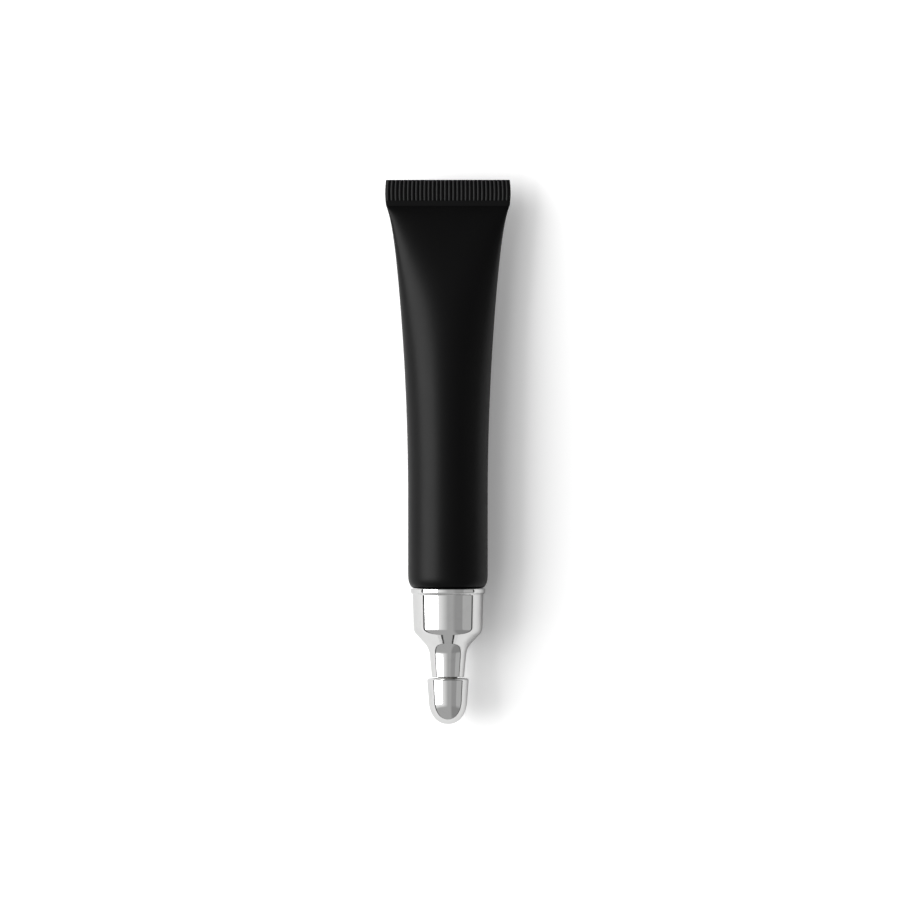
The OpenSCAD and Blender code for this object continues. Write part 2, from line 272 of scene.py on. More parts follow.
def eased(corners, steps=4):
    """An outline in which a corner given as (radius, past, easing) is rounded by that much."""
    outline = []
    for i, corner in enumerate(corners):
        if len(corner) == 2:
            outline.append(corner)
            continue
        here = Vector(corner[:2])
        back = (Vector(corners[i - 1][:2]) - here).normalized()
        ahead = (Vector(corners[(i + 1) % len(corners)][:2]) - here).normalized()
        half = back.angle(ahead) / 2
        centre = here + (back + ahead).normalized() * corner[2] / math.sin(half)
        first = here + back * corner[2] / math.tan(half) - centre
        turn = (math.pi - 2 * half) * (1 if first.x * ahead.y - first.y * ahead.x > 0 else -1)
        for k in range(steps + 1):
            a = turn * k / steps
            outline.append((
                centre.x + first.x * math.cos(a) - first.y * math.sin(a),
                centre.y + first.x * math.sin(a) + first.y * math.cos(a),
            ))
    return outline


def millimetres(points):
    """Points given in millimetres, in metres."""
    return [tuple(value * MM for value in point) for point in points]


def helix(name, root, crest, start, thread, turn=0):
    """One helical ridge with tapered ends, sunk a little into the wall it stands on."""
    turns, base_width, crest_width = thread
    lead = bpy.context.scene.tube_nozzle.lead / MM
    side = 1 if crest > root else -1
    lowest, sunk = 0.02, 0.2        # height of the ridge at its ends, and how deep its foot goes
    steps, end_steps = math.ceil(turns * 90), 10
    rings = []
    for i in range(steps + 1):
        rise = min(blend(0, end_steps, i), blend(0, end_steps, steps - i))
        top = root + side * (lowest + (abs(crest - root) - lowest) * rise)
        foot = root - side * sunk
        ease = 0.12 * (top - root)
        profile = [
            (foot, -base_width / 2), (top - ease, -crest_width / 2 - abs(ease) * 0.5),
            (top, -crest_width / 2 + abs(ease)), (top, crest_width / 2 - abs(ease)),
            (top - ease, crest_width / 2 + abs(ease) * 0.5), (foot, base_width / 2),
        ]
        angle = FULL_TURN * turns * i / steps
        past = start + lead * angle / FULL_TURN
        rings.append([
            round_the_axis(radius * MM, turn + angle, (past + along) * MM)
            for radius, along in profile
        ])
    return rolled(name, rings, fill_ends=True)


# ---------------------------------------------------------------- materials

class Value:
    """A number that comes from a node, so that shader maths reads as an expression."""

    def __init__(self, finish, socket):
        self.finish = finish
        self.socket = socket

    def maths(self, operation, first, second=0.0):
        return self.finish.node("ShaderNodeMath", {"operation": operation}, {0: first, 1: second})

    def __add__(self, other):
        return self.maths("ADD", self, other)

    def __sub__(self, other):
        return self.maths("SUBTRACT", self, other)

    def __mul__(self, other):
        return self.maths("MULTIPLY", self, other)

    def __truediv__(self, other):
        return self.maths("DIVIDE", self, other)

    def __pow__(self, other):
        return self.maths("POWER", self, other)

    def __rsub__(self, other):
        return self.maths("SUBTRACT", other, self)

    def __rtruediv__(self, other):
        return self.maths("DIVIDE", other, self)

    __radd__ = __add__
    __rmul__ = __mul__

    def at_least(self, other):
        return self.maths("MAXIMUM", self, other)

    def at_most(self, other):
        return self.maths("MINIMUM", self, other)


class Finish:
    """The nodes of one material or world."""

    def __init__(self, owner):
        owner.use_nodes = True
        self.owner = owner
        self.tree = owner.node_tree
        self.tree.nodes.clear()

    def node(self, kind, settings=None, inputs=None, output=0):
        """Adds a node, sets it up, fills its sockets, and gives back one of its outputs."""
        node = self.tree.nodes.new(kind)
        for key, value in (settings or {}).items():
            if key == "stops":
                ramp = node.color_ramp
                while len(ramp.elements) < len(value):
                    ramp.elements.new(0.5)
                for element, (position, grey) in zip(ramp.elements, value):
                    element.position = position
                    element.color = (grey, grey, grey, 1)
            else:
                setattr(node, key, value)
        for key, value in (inputs or {}).items():
            socket = node.inputs[key]
            if isinstance(value, Value):
                self.tree.links.new(value.socket, socket)
            elif socket.type == "RGBA":
                socket.default_value = (*value, 1)
            else:
                socket.default_value = value
        return Value(self, node.outputs[output]) if len(node.outputs) else None

    def place(self):
        """The point on the object, in metres."""
        return self.node("ShaderNodeTexCoord", output="Object")

    def stretched(self, scale):
        """The point on the object, scaled along each axis."""
        return self.node("ShaderNodeMapping", {}, {"Vector": self.place(), "Scale": scale})

    def noise(self, size, detail=2.0, roughness=0.5, vector=None, distortion=0.0):
        """Soft noise whose patches are about that size, in metres."""
        return self.node("ShaderNodeTexNoise", {}, {
            "Vector": vector or self.place(), "Scale": 1 / size, "Detail": detail,
            "Roughness": roughness, "Distortion": distortion,
        })

    def cells(self, size):
        """Distance to the middle of cells that are about that size, in metres."""
        return self.node("ShaderNodeTexVoronoi", {}, {"Vector": self.place(), "Scale": 1 / size})

    def ramp(self, value, *stops):
        """A grey level read off between stops of (position, grey level)."""
        return self.node("ShaderNodeValToRGB", {"stops": stops}, {"Fac": value})

    def rise(self, value, low, high):
        """0 below low, 1 above high, and a straight rise between."""
        return self.node("ShaderNodeMapRange", {"clamp": True}, {0: value, 1: low, 2: high})

    def mix(self, factor, first, second):
        """A colour between two, by a factor."""
        sockets = {0: factor, 6: first, 7: second}
        return self.node("ShaderNodeMix", {"data_type": "RGBA"}, sockets, output=2)

    def bump(self, height, distance, strength, under=None):
        """Relief of that height, in metres, on top of another relief if there is one."""
        inputs = {"Height": height, "Distance": distance, "Strength": strength}
        if under:
            inputs["Normal"] = under
        return self.node("ShaderNodeBump", {}, inputs)

    def coat(self, **sockets):
        """The surface itself. An underscore in a name stands for a space."""
        shader = self.node("ShaderNodeBsdfPrincipled", {}, {
            key.replace("_", " "): value for key, value in sockets.items()
        })
        self.node("ShaderNodeOutputMaterial", {}, {"Surface": shader})
        return self.owner


def new_finish(name):
    return Finish(bpy.data.materials.new(name))


def tinted(rgb, gain):
    return tuple(min(1.0, value * gain) for value in rgb)


def soft_black():
    """Smooth matte sleeve: fine grain, faint clouding, and a little polish where it is handled."""
    look = bpy.context.scene.tube_finish
    f = new_finish("soft_black")
    clouds = f.noise(9 * MM, 4.0, 0.6)
    grain = f.noise(0.11 * MM, 3.0, 0.65)
    drawn = f.noise(1.4 * MM, 3.0, 0.5, f.stretched((1.0, 0.06, 1.0)))
    tone = f.mix(clouds, tinted(look.sleeve, 0.8), tinted(look.sleeve, 1.25))
    speck = f.ramp(f.cells(1.3 * MM), (0.0, 1.0), (0.055, 0.0))
    tone = f.mix(speck * 0.3, tone, tinted(look.sleeve, 4))
    matte = look.sleeve_roughness - 0.05 + 0.06 * clouds + 0.03 * drawn + 0.02 * grain
    relief = f.bump(grain, 0.004 * MM, 0.5)
    relief = f.bump(drawn, 0.02 * MM, 0.35, relief)
    return f.coat(
        Base_Color=tone, Roughness=matte, Normal=relief, IOR=1.45, Specular_IOR_Level=0.155
    )


def moulded_black():
    look = bpy.context.scene.tube_finish
    f = new_finish("moulded_black")
    flow = f.noise(3 * MM, 4.0, 0.6, f.stretched((1.0, 0.4, 1.0)), 1.2)
    grain = f.noise(0.08 * MM, 2.0)
    tone = f.mix(flow, tinted(look.head, 0.8), tinted(look.head, 1.3))
    relief = f.bump(grain, 0.004 * MM, 0.4)
    return f.coat(
        Base_Color=tone, Roughness=0.3 + 0.12 * flow + 0.04 * grain, Normal=relief,
        Specular_IOR_Level=0.4,
    )


def chrome():
    """Bright plating: slow waves left by polishing, hairlines, and a few faint smudges."""
    look = bpy.context.scene.tube_finish
    f = new_finish("chrome")
    waves = f.noise(5 * MM, 2.0, 0.5, f.stretched((1.0, 0.5, 1.0)))
    hairs = f.noise(0.35 * MM, 3.0, 0.7, f.stretched((1.0, 0.12, 1.0)))
    smudge = f.ramp(f.noise(4 * MM, 5.0, 0.6, None, 0.6), (0.52, 0.0), (0.72, 1.0))
    tone = f.mix(smudge, look.chrome, tinted(look.chrome, 0.96))
    blur = look.chrome_roughness - 0.01 + 0.02 * hairs + 0.05 * smudge
    relief = f.bump(waves, 0.02 * MM, 0.5)
    relief = f.bump(hairs, 0.0004 * MM, 0.4, relief)
    return f.coat(
        Base_Color=tone, Metallic=1.0, Roughness=blur, Normal=relief,
        Specular_Tint=(look.chrome_edge,) * 3,
    )


def moulded_white():
    look = bpy.context.scene.tube_finish
    f = new_finish("moulded_white")
    flow = f.noise(2.5 * MM, 4.0, 0.6, f.stretched((1.0, 0.35, 1.0)), 1.0)
    grain = f.noise(0.1 * MM, 2.0)
    tone = f.mix(flow, tinted(look.insert, 0.95), tinted(look.insert, 1.04))
    relief = f.bump(grain, 0.004 * MM, 0.35)
    return f.coat(
        Base_Color=tone, Roughness=0.28 + 0.14 * flow + 0.04 * grain, Normal=relief,
        Subsurface_Weight=0.08, Subsurface_Radius=(0.6 * MM, 0.5 * MM, 0.4 * MM),
        Subsurface_Scale=1.0,
    )


def foam():
    look = bpy.context.scene.tube_finish
    f = new_finish("foam")
    pores = f.cells(0.16 * MM)
    patches = f.noise(1.2 * MM, 3.0)
    depth = f.ramp(pores, (0.08, 0.0), (0.6, 1.0))
    # The pores are painted darker than the foam around them, as painted shade inside them; the same
    # mask sinks them in the bump.
    tone = f.mix(depth, tinted(look.foam, 0.72), look.foam)
    tone = f.mix(patches * 0.25, tone, tinted(look.foam, 1.1))
    return f.coat(Base_Color=tone, Roughness=0.85, Normal=f.bump(depth, 0.05 * MM, 0.8))


def cream():
    look = bpy.context.scene.tube_finish
    f = new_finish("cream")
    folds = f.noise(2.2 * MM, 3.0, 0.5, None, 1.6)
    bubbles = f.ramp(f.cells(0.6 * MM), (0.0, 0.0), (0.12, 1.0))
    # The hollows of the folds are painted slightly darker, as painted shade; the same noise raises the
    # folds in the bump.
    tone = f.mix(folds, tinted(look.cream, 0.95), look.cream)
    relief = f.bump(folds, 0.25 * MM, 0.6)
    relief = f.bump(bubbles, 0.03 * MM, 0.5, relief)
    return f.coat(
        Base_Color=tone, Roughness=0.25 + 0.15 * folds, Normal=relief,
        Subsurface_Weight=0.15, Subsurface_Radius=(0.8 * MM, 0.7 * MM, 0.6 * MM),
        Subsurface_Scale=1.0,
    )


# ---------------------------------------------------------------- the tube

# Inner sizes in millimetres. A thread is (turns, width at its foot, width at its crest).
COARSE_THREAD = (1.5, 1.1, 0.5)
FINE_THREAD = (0.9, 0.6, 0.3)
NECK_THREAD_START = 1.9
NECK_THREAD_HEIGHT = 0.6
SPIGOT = 2.3               # radius of the threaded spigot at the nozzle's end
SPIGOT_LENGTH = 5.25
SPIGOT_THREAD_START = 0.75
CORE_BORE = 2.9            # radius of the cap's threaded bore

RING_POINTS = 748          # a multiple of four, with twelve points for each ridge
POINTS_PER_RIDGE = 12
ARC_STEPS = 6000           # steps in which a quarter of a ring is measured
WALLS_PART = 0.8 * MM      # how far the walls stand apart just below the seal
RIDGE_VALLEY = 0.31 * MM   # half the seal's thickness between two ridges
RIDGE_HEIGHT = 0.26 * MM
FLARE_RINGS = 44
CORNER_STEPS = 12
INNER_STEPS = 6
# Rings of the seal, in millimetres from the cut end. The first few close that end, and are written
# as (distance, share of the thickness, inset).
CUT_EDGE = ((0.0, 0.0, 0.02), (0.0, 0.5, 0.02), (0.0, 0.9, 0.02), (0.0, 0.97, 0.0))
SEAL_STATIONS = (0.05, 0.2, 0.7, 1.5, 2.5, 3.5, 4.4, 4.8, 4.86, 4.92, 4.98, 5.04, 5.2, 5.6, 6.0)
ROUND_STATIONS = (12.0, 5.0, 3.4)


def super_ring(half_width, half_depth, power):
    """Points at equal steps round a superellipse, from +across through +up."""
    dense = []
    for i in range(ARC_STEPS + 1):
        angle = QUARTER_TURN * i / ARC_STEPS
        c, s = math.cos(angle), math.sin(angle)
        size = (c ** power + s ** power) ** (1 / power)
        dense.append((half_width * c / size, half_depth * s / size))
    run = [0.0]
    for first, second in zip(dense, dense[1:]):
        run.append(run[-1] + math.dist(first, second))
    quarter_points = RING_POINTS // 4
    quarter, k = [], 0
    for i in range(quarter_points + 1):
        target = run[-1] * i / quarter_points
        while k < ARC_STEPS - 1 and run[k + 1] < target:
            k += 1
        t = (target - run[k]) / (run[k + 1] - run[k])
        quarter.append(tuple(a + (b - a) * t for a, b in zip(dense[k], dense[k + 1])))
    right_top = quarter[:-1]
    left_top = [(-x, z) for x, z in reversed(quarter[1:])]
    return (
        right_top + left_top
        + [(-x, -z) for x, z in right_top]
        + [(-x, -z) for x, z in left_top]
    )


def sleeve_section(into):
    """Half width, half depth and squareness, that far from the seal towards the shoulder."""
    s = bpy.context.scene.tube_sleeve
    radius = s.diameter / 2
    spread = math.pi * radius / 2 - radius
    taper = SLEEVE_HIGH.y - SLEEVE_LOW.y - s.seal_length - s.round_length
    t = max(0, 1 - into / taper)
    half_seal = s.seal_thickness / 2
    near = math.exp(-into / (1.5 * MM))
    flare, lip = 0.78 * spread, 0.18 * spread
    half_width = radius + flare * t * t + lip * math.exp(-into / (4 * MM))
    half_depth = half_seal + WALLS_PART * (1 - near) + (radius - half_seal - WALLS_PART) * (1 - t ** 3)
    boxy = 2.1 * math.exp(-(into / (14 * MM)) ** 2)
    flat = 9.9 * math.exp(-into / (0.8 * MM))
    return half_width, half_depth, 2 + boxy + flat, taper


def seal_ring(from_cut, squeeze=1.0, inset=0.0):
    """The ridged seal, that far from the cut end."""
    s = bpy.context.scene.tube_sleeve
    bow = 0.22 * MM * (2 * from_cut / s.seal_length - 1) ** 2
    half_width = math.pi * s.diameter / 4 + 0.04 * MM - bow - inset
    half_depth = s.seal_thickness / 2
    points = super_ring(half_width, half_depth, 14)
    pressed = 1 - blend(s.ridge_length - 0.06 * MM, s.ridge_length + 0.12 * MM, from_cut)
    quarter = RING_POINTS // 4
    ring = []
    for i, (x, z) in enumerate(points):
        step = (i % (2 * quarter)) - quarter
        depth = RIDGE_VALLEY
        if abs(step) <= POINTS_PER_RIDGE * s.ridge_count // 2:
            depth += RIDGE_HEIGHT * abs(math.sin(math.pi * step / POINTS_PER_RIDGE)) ** 0.8
        z *= 1 + pressed * (depth / half_depth - 1)
        ring.append(place(x, z * squeeze, seal_cut() + from_cut))
    return ring


def seal_cut():
    """How far past the shoulder the cut end lies, which is a negative distance."""
    return SHOULDER_Y - SLEEVE_HIGH.y


def flare_ring(into, inset=0.0, squeeze=1.0):
    """The sleeve that far from the seal, drawn in by an inset and cut flat underneath."""
    half_width, half_depth, power, _ = sleeve_section(into)
    past = seal_cut() + bpy.context.scene.tube_sleeve.seal_length + into
    ring = []
    for x, z in super_ring(half_width - inset, half_depth - inset, power):
        ring.append(place(x, max(-AXIS_Z, z * squeeze), past))
    return ring


def round_ring(radius, past):
    """A round ring, cut flat underneath."""
    return [place(x, max(-AXIS_Z, z), past) for x, z in super_ring(radius, radius, 2)]


class TUBE_OT_sleeve(bpy.types.Operator):
    """Models the squeeze sleeve: ridged seal, flare, round end and the shoulder's corner"""

    bl_idname = "tube.sleeve"
    bl_label = "Sleeve"

    def execute(self, context):
        s = context.scene.tube_sleeve
        radius = s.diameter / 2
        taper = sleeve_section(0)[3]
        rings = [seal_ring(past * MM, squeeze, inset * MM) for past, squeeze, inset in CUT_EDGE]
        rings += [seal_ring(station * MM) for station in SEAL_STATIONS]
        rings += [flare_ring(taper * (i / FLARE_RINGS) ** 2) for i in range(FLARE_RINGS + 1)]
        rings += [round_ring(radius, -past * MM) for past in ROUND_STATIONS]
        face = radius - s.corner_turn
        inner_turn, inner_length = s.corner_turn - s.wall, s.corner_length - s.wall
        for i in range(CORNER_STEPS + 1):
            a = QUARTER_TURN * i / CORNER_STEPS
            rings.append(round_ring(
                radius - s.corner_turn * (1 - math.cos(a)), s.corner_length * (math.sin(a) - 1)
            ))
        for i in range(INNER_STEPS, -1, -1):
            a = QUARTER_TURN * i / INNER_STEPS
            rings.append(round_ring(
                face + inner_turn * math.cos(a), inner_length * math.sin(a) - s.corner_length
            ))
        inner_rings = 12
        for i in range(inner_rings, -1, -1):
            t = i / inner_rings
            rings.append(flare_ring(taper * t ** 2 + WALLS_PART * (1 - t), s.wall))
        rings.append(flare_ring(WALLS_PART, s.wall, 0.0))
        obj = rolled("sleeve", rings)
        finish_piece(obj, "tube", "tube_sleeve", soft_black())
        return {"FINISHED"}


class TUBE_OT_head(bpy.types.Operator):
    """Models the head welded into the sleeve, with its threaded neck"""

    bl_idname = "tube.head"
    bl_label = "Head"

    def execute(self, context):
        s, n = context.scene.tube_sleeve, context.scene.tube_nozzle
        outer = s.diameter / 2 / MM - s.wall / MM - WELD_GAP
        neck, height = n.neck / 2 / MM, n.neck_height / MM
        face = (s.diameter / 2 - s.corner_turn) / MM - WELD_GAP
        corner_length = s.corner_length / MM
        corner_rise = corner_length - s.wall / MM - WELD_GAP
        corner = [
            (face + (outer - face) * math.cos(a), corner_rise * math.sin(a) - corner_length)
            for a in (math.radians(7.5 * i) for i in range(1, 13))
        ]
        ring, skirt, plate = outer - 0.8, -4.2, -1.6
        outlet, bore, bore_end = 1.5, 3.2, height - 1.1
        body = turned("head_body", millimetres(eased([
            (ring, skirt, 0.15), (outer, skirt, 0.15), (outer, -corner_length), *corner,
            (face, 0.0, 0.08), (neck, 0.0, 0.25), (neck, height, 0.35), (outlet, height, 0.12),
            (outlet, bore_end, 0.1), (bore, bore_end, 0.3), (bore, plate + 0.4),
            (bore + 0.4, plate, 0.2), (ring - 0.5, plate, 0.3), (ring, plate - 0.5, 0.3),
        ])))
        crest = neck + NECK_THREAD_HEIGHT
        ridge = helix("head_thread", neck, crest, NECK_THREAD_START, COARSE_THREAD)
        obj = joined("head", [body, ridge])
        finish_piece(obj, "tube", "tube_head", moulded_black())
        return {"FINISHED"}


def shell_end():
    """How far past the shoulder the nozzle's shell ends, in millimetres."""
    return (SHOULDER_Y - SHELL_LOW.y) / MM


class TUBE_OT_contents(bpy.types.Operator):
    """Gives the cream its surface"""

    bl_idname = "tube.contents"
    bl_label = "Contents"

    def execute(self, context):
        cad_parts["cream_fill"].data.materials.clear()
        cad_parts["cream_fill"].data.materials.append(cream())
        return {"FINISHED"}


DRAFT, CONE_ANGLE, TIP_ANGLE = 1.3, 43, 5.46     # how far the shell's side leans, in degrees
SHOULDER_ROUND, HOLLOW_ROUND = 2.4, 4.6          # radii between those slopes, in millimetres
SHOULDER_START, SHOULDER_IN = 9.4, 0.66          # where it turns in: past the rim, inside the bead


def shell_side(inset, first_angle=DRAFT, steps=20):
    """The nozzle's side from the shoulder to the free end, drawn in by an inset, in millimetres."""
    n = bpy.context.scene.tube_nozzle
    draft, cone, tip_draft = (math.radians(angle) for angle in (DRAFT, CONE_ANGLE, TIP_ANGLE))
    end = shell_end()
    tip = n.tip / 2 / MM
    centre = Vector((
        n.bead / 2 / MM - SHOULDER_IN - SHOULDER_ROUND * math.cos(draft),
        SHOULDER_START - SHOULDER_ROUND * math.sin(draft),
    ))
    cone_out = Vector((math.cos(cone), math.sin(cone)))
    tip_out = Vector((math.cos(tip_draft), math.sin(tip_draft)))
    cone_side = HOLLOW_ROUND + (centre + SHOULDER_ROUND * cone_out).dot(cone_out)
    neck_side = HOLLOW_ROUND + Vector((tip, end)).dot(tip_out)
    lean = math.sin(cone - tip_draft)
    hollow = (
        (neck_side * math.sin(cone) - cone_side * math.sin(tip_draft)) / lean,
        (cone_side * math.cos(tip_draft) - neck_side * math.cos(cone)) / lean,
    )
    return (
        arc(centre, SHOULDER_ROUND - inset, first_angle, CONE_ANGLE, steps)
        + arc(hollow, HOLLOW_ROUND + inset, 180 + CONE_ANGLE, 180 + TIP_ANGLE, steps)
        + [(tip - inset / math.cos(tip_draft), end, 0.12 if inset == 0 else 0.05)]
    )


class TUBE_OT_nozzle_shell(bpy.types.Operator):
    """Models the chromed collar, shoulder and neck of the nozzle"""

    bl_idname = "tube.nozzle_shell"
    bl_label = "Nozzle Shell"

    def execute(self, context):
        n = context.scene.tube_nozzle
        bead, wall = n.bead / 2 / MM, n.wall / MM
        side = shell_side(0.0)
        inside = list(reversed(shell_side(wall, 0.0)))
        bore = inside[-1][0]
        rim, bead_round, bead_top = 0.1, 0.5, 0.85
        outline = eased([
            (bore, rim, 0.06), (bead - 0.04, rim, 0.14), (bead, 0.5, 1.2),
            *arc((bead - bead_round, bead_top), bead_round, 0, 62, 14),
            (bead - 0.40, 1.4, 0.08), (bead - 0.48, 1.6, 0.3),
            *side, *inside,
        ])
        obj = turned("nozzle_shell_chrome", millimetres(outline), 288)
        finish_piece(obj, "nozzle", "nozzle_shell", chrome())
        return {"FINISHED"}


class TUBE_OT_nozzle_insert(bpy.types.Operator):
    """Models the nozzle's plastic core: threaded skirt, ribs, channel and threaded spigot"""

    bl_idname = "tube.nozzle_insert"
    bl_label = "Nozzle Insert"

    def execute(self, context):
        n = context.scene.tube_nozzle
        skirt = n.neck / 2 / MM + 0.75
        outer, deck = skirt + 0.95, n.neck_height / MM + 0.8
        end = shell_end()
        tip = end + SPIGOT_LENGTH
        rib_edge = shell_side(n.wall / MM, 0.0)[0][0] - 0.04
        flange = rib_edge - 0.1
        wedge = shell_side(n.wall / MM + 0.05, 25.0)
        orifice, throat, channel, mouth = 0.8, 1.0, 1.4, 2.0
        body = turned("insert_body", millimetres(eased([
            (skirt, 0.5, 0.15), (outer, 0.5, 0.15), (outer, deck - 0.4, 0.2),
            (flange, deck - 0.4), (flange, deck + 0.4), *wedge[:-1], wedge[-1][:2],
            (SPIGOT, end, 0.12), (SPIGOT, tip, 0.3), (orifice, tip, 0.15), (orifice, tip - 3),
            (throat, tip - 3.4), (channel, deck + 3.3, 0.3), (mouth, deck, 0.15), (skirt, deck, 0.15),
        ])))
        begin()
        bpy.ops.mesh.primitive_cube_add(size=1)
        rib = context.object
        low, high = (outer - 0.3, -0.4, 0.9), (rib_edge, 0.4, deck)
        rib_count = 8
        for vertex in rib.data.vertices:
            across, along_wall, past = (
                (a if corner < 0 else b) * MM for corner, a, b in zip(vertex.co, low, high)
            )
            vertex.co = place(across, along_wall, past)
        edit()
        bpy.ops.mesh.normals_make_consistent(inside=False)
        bpy.ops.mesh.bevel(offset=0.12 * MM, segments=3, affect="EDGES")
        bpy.ops.object.mode_set(mode="OBJECT")
        parts = [body, rib]
        for _ in range(rib_count - 1):
            pick(rib)
            bpy.ops.object.duplicate(linked=False)
            parts.append(context.object)
        for i, part in enumerate(parts[1:]):
            pick(part)
            edit()
            bpy.ops.transform.rotate(
                value=FULL_TURN * (i + 0.5) / rib_count, orient_axis="Y",
                center_override=(0, 0, AXIS_Z),
            )
        start = NECK_THREAD_START + n.lead / MM / 2
        parts.append(helix("skirt_thread", skirt, skirt - NECK_THREAD_HEIGHT, start, COARSE_THREAD))
        start = end + SPIGOT_THREAD_START
        for i in range(2):
            parts.append(helix("spigot_thread", SPIGOT, 2.75, start, FINE_THREAD, math.pi * i))
        obj = joined("nozzle_core", parts)
        bpy.ops.object.shade_smooth_by_angle(angle=math.radians(30))
        finish_piece(obj, "nozzle", "nozzle_insert", moulded_white())
        return {"FINISHED"}


def nose(radius, start, height, steps, power=2.2):
    """A blunt nose from its base to the axis, in millimetres."""
    points = []
    for i in range(steps + 1):
        a = math.pi / 2 * i / steps
        points.append((
            radius * max(0, math.cos(a)) ** (2 / power), start + height * math.sin(a) ** (2 / power)
        ))
    points[-1] = (0.0, start + height)
    return points


class TUBE_OT_cap(bpy.types.Operator):
    """Models the cap: chromed bullet, threaded core with its sealing pin"""

    bl_idname = "tube.cap"
    bl_label = "Cap"

    def execute(self, context):
        c, n = context.scene.tube_cap, context.scene.tube_nozzle
        radius, bore = c.diameter / 2 / MM, c.bore / 2 / MM
        start, end = (SHOULDER_Y - CAP_HIGH.y) / MM, (SHOULDER_Y - CAP_LOW.y) / MM
        base, rim_round, taper = start + 4.55, 0.58, 0.31
        shell = turned("cap_shell_chrome", millimetres(eased([
            (bore, start, 0.06),
            *arc((radius - rim_round, start + rim_round), rim_round, -90, 0, 10),
            *nose(radius - taper, base, end - base, 40),
            *reversed(nose(bore, base + 0.4, end - base - 1.5, 16)),
        ])))
        finish_piece(shell, "cap", "cap_shell", bpy.data.materials["chrome"])

        tip = shell_end() + SPIGOT_LENGTH
        outer, ceiling, mouth = bore - 0.04, tip + 0.55, start + 0.15
        top, pin, pin_end = ceiling + 1.05, 0.7, tip - 2.4
        body = turned("cap_core_body", millimetres(eased([
            (CORE_BORE, mouth, 0.25), (outer, mouth, 0.12), (outer, ceiling - 0.35, 0.2),
            (outer - 0.56, top, 0.2), (0.0, top), (0.0, pin_end), (pin - 0.3, pin_end, 0.1),
            (pin, tip - 2, 0.1), (pin, ceiling, 0.1), (CORE_BORE, ceiling, 0.15),
        ])), 144)
        thread_start = tip - 4.5 + n.lead / MM / 4
        threads = [
            helix("core_thread", CORE_BORE, 2.45, thread_start, FINE_THREAD, math.pi * i)
            for i in range(2)
        ]
        core = joined("cap_lining", [body, *threads])
        plastic = bpy.data.materials["moulded_white"]
        finish_piece(core, "cap", "cap_core", plastic)
        return {"FINISHED"}


class TUBE_OT_washers(bpy.types.Operator):
    """Gives the neck washer and the cap's disc their foam"""

    bl_idname = "tube.washers"
    bl_label = "Washers"

    def execute(self, context):
        material = foam()
        for name in ("neck_washer", "cap_wad"):
            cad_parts[name].data.materials.clear()
            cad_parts[name].data.materials.append(material)
        return {"FINISHED"}


# ---------------------------------------------------------------- the stage

FLOOR_DROP = 0.02 * MM             # how far the floor lies below the tube, so that no faces coincide
FLOOR_RADIUS = 6
FLOOR_PLAIN_FROM, FLOOR_PLAIN_OVER = 0.25, 0.1   # where the floor turns plain white, in metres
SOFTBOX_AWAY, SOFTBOX_ALONG, SOFTBOX_LENGTH = 1.2, 0.15, 1.1
SOFTBOX_LOW, SOFTBOX_HIGH = math.radians(8), math.radians(57)
CAMERA_ACROSS, CAMERA_ALONG = 0.5 * MM, 0.47 * MM

# What shiny surfaces mirror, by the direction they look in: a pale ceiling that brightens to the left,
# a darker wall with a pale card on the right, a thin dark horizon, and a dimmer end behind the seal.
CEILING, CEILING_GAIN, CEILING_LIMIT = 0.46, 1.1, 0.5
WALL_SPAN, WALL_FALL, WALL_END_FALL = (0.25, 0.42), -0.1, -0.06
CARD_SPAN, CARD_GAIN = (0.74, 0.77), 0.15
ENDS_SPAN = (0.1, 0.2)             # squared distance along at which the tube's ends begin
HORIZON, HORIZON_LEFT, HORIZON_RIGHT, HORIZON_BLUR = 0.015, -0.125, 0.07, 0.01
BELOW_HORIZON = 0.06               # share of the brightness that is left below the horizon
BEHIND_SPAN, BEHIND_FALL = (0.2, 0.6), 0.5


def pale_floor():
    """White, with the object's shadow near it, and plain white further out where it is only seen."""
    stage = bpy.context.scene.tube_stage
    f = new_finish("pale_floor")
    away = f.node("ShaderNodeVectorMath", {"operation": "LENGTH"}, {0: f.place()}, output="Value")
    far = ((away - FLOOR_PLAIN_FROM) / FLOOR_PLAIN_OVER).at_least(0.0).at_most(1.0)
    camera, glossy, passing = (
        f.node("ShaderNodeLightPath", output=f"Is {kind} Ray")
        for kind in ("Camera", "Glossy", "Transmission")
    )
    direct = (camera + passing).at_most(1.0)
    seen = (direct + glossy).at_most(1.0)
    fleck = f.noise(0.6 * MM, 2.0)
    grey = (stage.floor,) * 3
    paint = f.mix(fleck, tinted(grey, 0.995), tinted(grey, 1.005))
    paint = f.mix(glossy, paint, tinted(grey, stage.floor_mirrored))
    matte = f.node("ShaderNodeBsdfDiffuse", {}, {"Color": paint})
    glow = f.node("ShaderNodeEmission", {}, {"Color": WHITE, "Strength": direct * stage.floor_glow})
    near = f.node("ShaderNodeAddShader", {}, {0: matte, 1: glow})
    mirrored = direct + glossy * stage.floor_mirrored
    white = f.node("ShaderNodeEmission", {}, {"Color": WHITE, "Strength": mirrored})
    floor = f.node("ShaderNodeMixShader", {}, {0: far * seen, 1: near, 2: white})
    f.node("ShaderNodeOutputMaterial", {}, {"Surface": floor})
    return f.owner


